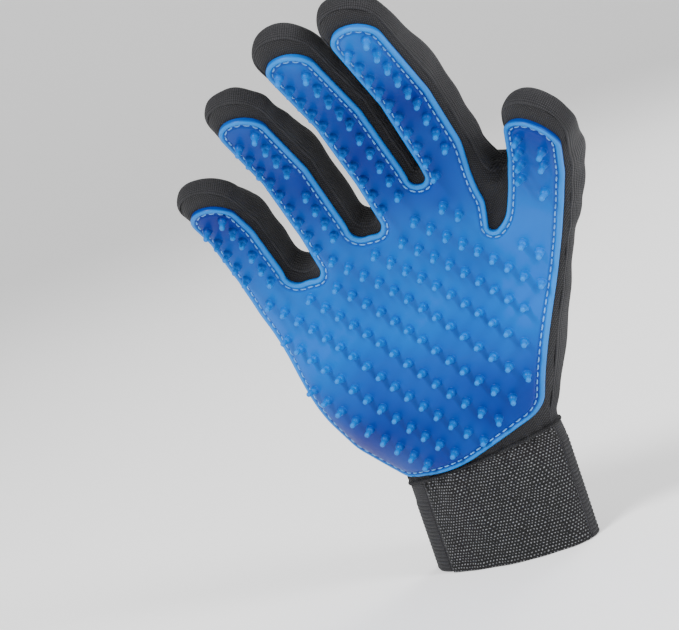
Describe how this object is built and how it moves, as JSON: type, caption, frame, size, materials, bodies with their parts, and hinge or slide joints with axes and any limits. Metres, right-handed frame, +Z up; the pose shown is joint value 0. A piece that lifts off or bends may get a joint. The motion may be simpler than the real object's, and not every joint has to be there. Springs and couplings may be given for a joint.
{
  "type": "grooming glove",
  "caption": "Right-hand pet grooming glove: stretch cuff, mesh back, ribbed side bands and a soft rubber palm pad with moulded pins, bending at the finger joints",
  "frame": {"origin": "centre of the wrist opening, in the plane of the cuff's lower edge", "axes": "+Z runs up through the hand to the fingertips, the palm and its pins face -Y, the thumb is towards +X"},
  "size_m": [0.1782, 0.1211, 0.2572],
  "materials": {
    "pad_rubber": "satin moulded rubber, saturated blue, fine grain",
    "blue_thread": "twisted sewing thread, light blue",
    "base_cloth": "black fine textured knit",
    "rib_knit": "black ribbed knit, ribs along the finger",
    "air_mesh": "black spacer mesh with small oval holes",
    "woven_cuff": "black stretch weave with rows of grey specks",
    "cuff_elastic": "black ribbed elastic, ribs around the wrist"
  },
  "bodies": {
    "hand": {"cuff_palm_panel": "woven_cuff", "cuff_elastic_band": "cuff_elastic", "palm_base_panel": "base_cloth", "back_mesh_panel": "air_mesh", "little_side_band": "rib_knit", "thumb_side_band": "rib_knit", "finger_webs": "rib_knit", "palm_pad": "pad_rubber", "palm_pad_thread": "blue_thread"},
    "index_lower": {"index_lower_pad": "pad_rubber", "index_lower_pad_thread": "blue_thread", "index_lower_base": "base_cloth", "index_lower_side_band": "rib_knit", "index_lower_mesh_back": "air_mesh"},
    "index_upper": {"index_upper_pad": "pad_rubber", "index_upper_pad_thread": "blue_thread", "index_upper_base": "base_cloth", "index_upper_side_band": "rib_knit", "index_upper_mesh_back": "air_mesh"},
    "middle_lower": {"middle_lower_pad": "pad_rubber", "middle_lower_pad_thread": "blue_thread", "middle_lower_base": "base_cloth", "middle_lower_side_band": "rib_knit", "middle_lower_mesh_back": "air_mesh"},
    "middle_upper": {"middle_upper_pad": "pad_rubber", "middle_upper_pad_thread": "blue_thread", "middle_upper_base": "base_cloth", "middle_upper_side_band": "rib_knit", "middle_upper_mesh_back": "air_mesh"},
    "ring_lower": {"ring_lower_pad": "pad_rubber", "ring_lower_pad_thread": "blue_thread", "ring_lower_base": "base_cloth", "ring_lower_side_band": "rib_knit", "ring_lower_mesh_back": "air_mesh"},
    "ring_upper": {"ring_upper_pad": "pad_rubber", "ring_upper_pad_thread": "blue_thread", "ring_upper_base": "base_cloth", "ring_upper_side_band": "rib_knit", "ring_upper_mesh_back": "air_mesh"},
    "little_lower": {"little_lower_pad": "pad_rubber", "little_lower_pad_thread": "blue_thread", "little_lower_base": "base_cloth", "little_lower_side_band": "rib_knit", "little_lower_mesh_back": "air_mesh"},
    "little_upper": {"little_upper_pad": "pad_rubber", "little_upper_pad_thread": "blue_thread", "little_upper_base": "base_cloth", "little_upper_side_band": "rib_knit", "little_upper_mesh_back": "air_mesh"},
    "thumb_lower": {"thumb_lower_pad": "pad_rubber", "thumb_lower_pad_thread": "blue_thread", "thumb_lower_base": "base_cloth", "thumb_lower_side_band": "rib_knit", "thumb_lower_mesh_back": "air_mesh"},
    "thumb_upper": {"thumb_upper_pad": "pad_rubber", "thumb_upper_pad_thread": "blue_thread", "thumb_upper_base": "base_cloth", "thumb_upper_side_band": "rib_knit", "thumb_upper_mesh_back": "air_mesh"}
  },
  "joints": [
    {"name": "index_knuckle", "type": "hinge", "parent": "hand", "child": "index_lower", "pos_m": [0.0465, -0.05314, 0.17949], "axis": [1, 0, 0], "range_deg": [-6, 65], "stiffness_Nm_per_rad": 0.15},
    {"name": "index_middle_joint", "type": "hinge", "parent": "index_lower", "child": "index_upper", "pos_m": [0.0465, -0.06962, 0.20692], "axis": [1, 0, 0], "range_deg": [-12, 60], "stiffness_Nm_per_rad": 0.15},
    {"name": "middle_knuckle", "type": "hinge", "parent": "hand", "child": "middle_lower", "pos_m": [0.0175, -0.05314, 0.17949], "axis": [0.9994, -0.0147, 0.0316], "range_deg": [-6, 65], "stiffness_Nm_per_rad": 0.15},
    {"name": "middle_middle_joint", "type": "hinge", "parent": "middle_lower", "child": "middle_upper", "pos_m": [0.01639, -0.06961, 0.2069], "axis": [0.9994, -0.0147, 0.0316], "range_deg": [-12, 60], "stiffness_Nm_per_rad": 0.15},
    {"name": "ring_knuckle", "type": "hinge", "parent": "hand", "child": "ring_lower", "pos_m": [-0.018, -0.04553, 0.16317], "axis": [1, 0, 0], "range_deg": [-6, 65], "stiffness_Nm_per_rad": 0.15},
    {"name": "ring_middle_joint", "type": "hinge", "parent": "ring_lower", "child": "ring_upper", "pos_m": [-0.018, -0.06201, 0.1906], "axis": [1, 0, 0], "range_deg": [-12, 60], "stiffness_Nm_per_rad": 0.15},
    {"name": "little_knuckle", "type": "hinge", "parent": "hand", "child": "little_lower", "pos_m": [-0.056, -0.04004, 0.15139], "axis": [1, 0, 0], "range_deg": [-6, 65], "stiffness_Nm_per_rad": 0.15},
    {"name": "little_middle_joint", "type": "hinge", "parent": "little_lower", "child": "little_upper", "pos_m": [-0.056, -0.0524, 0.17196], "axis": [1, 0, 0], "range_deg": [-12, 60], "stiffness_Nm_per_rad": 0.15},
    {"name": "thumb_base_joint", "type": "hinge", "parent": "hand", "child": "thumb_lower", "pos_m": [0.074, -0.04067, 0.15275], "axis": [0.8606, -0.0492, -0.5068], "range_deg": [-6, 45], "stiffness_Nm_per_rad": 0.15},
    {"name": "thumb_tip_joint", "type": "hinge", "parent": "thumb_lower", "child": "thumb_upper", "pos_m": [0.08084, -0.04821, 0.16509], "axis": [0.8606, -0.0492, -0.5068], "range_deg": [-12, 50], "stiffness_Nm_per_rad": 0.15}
  ]
}
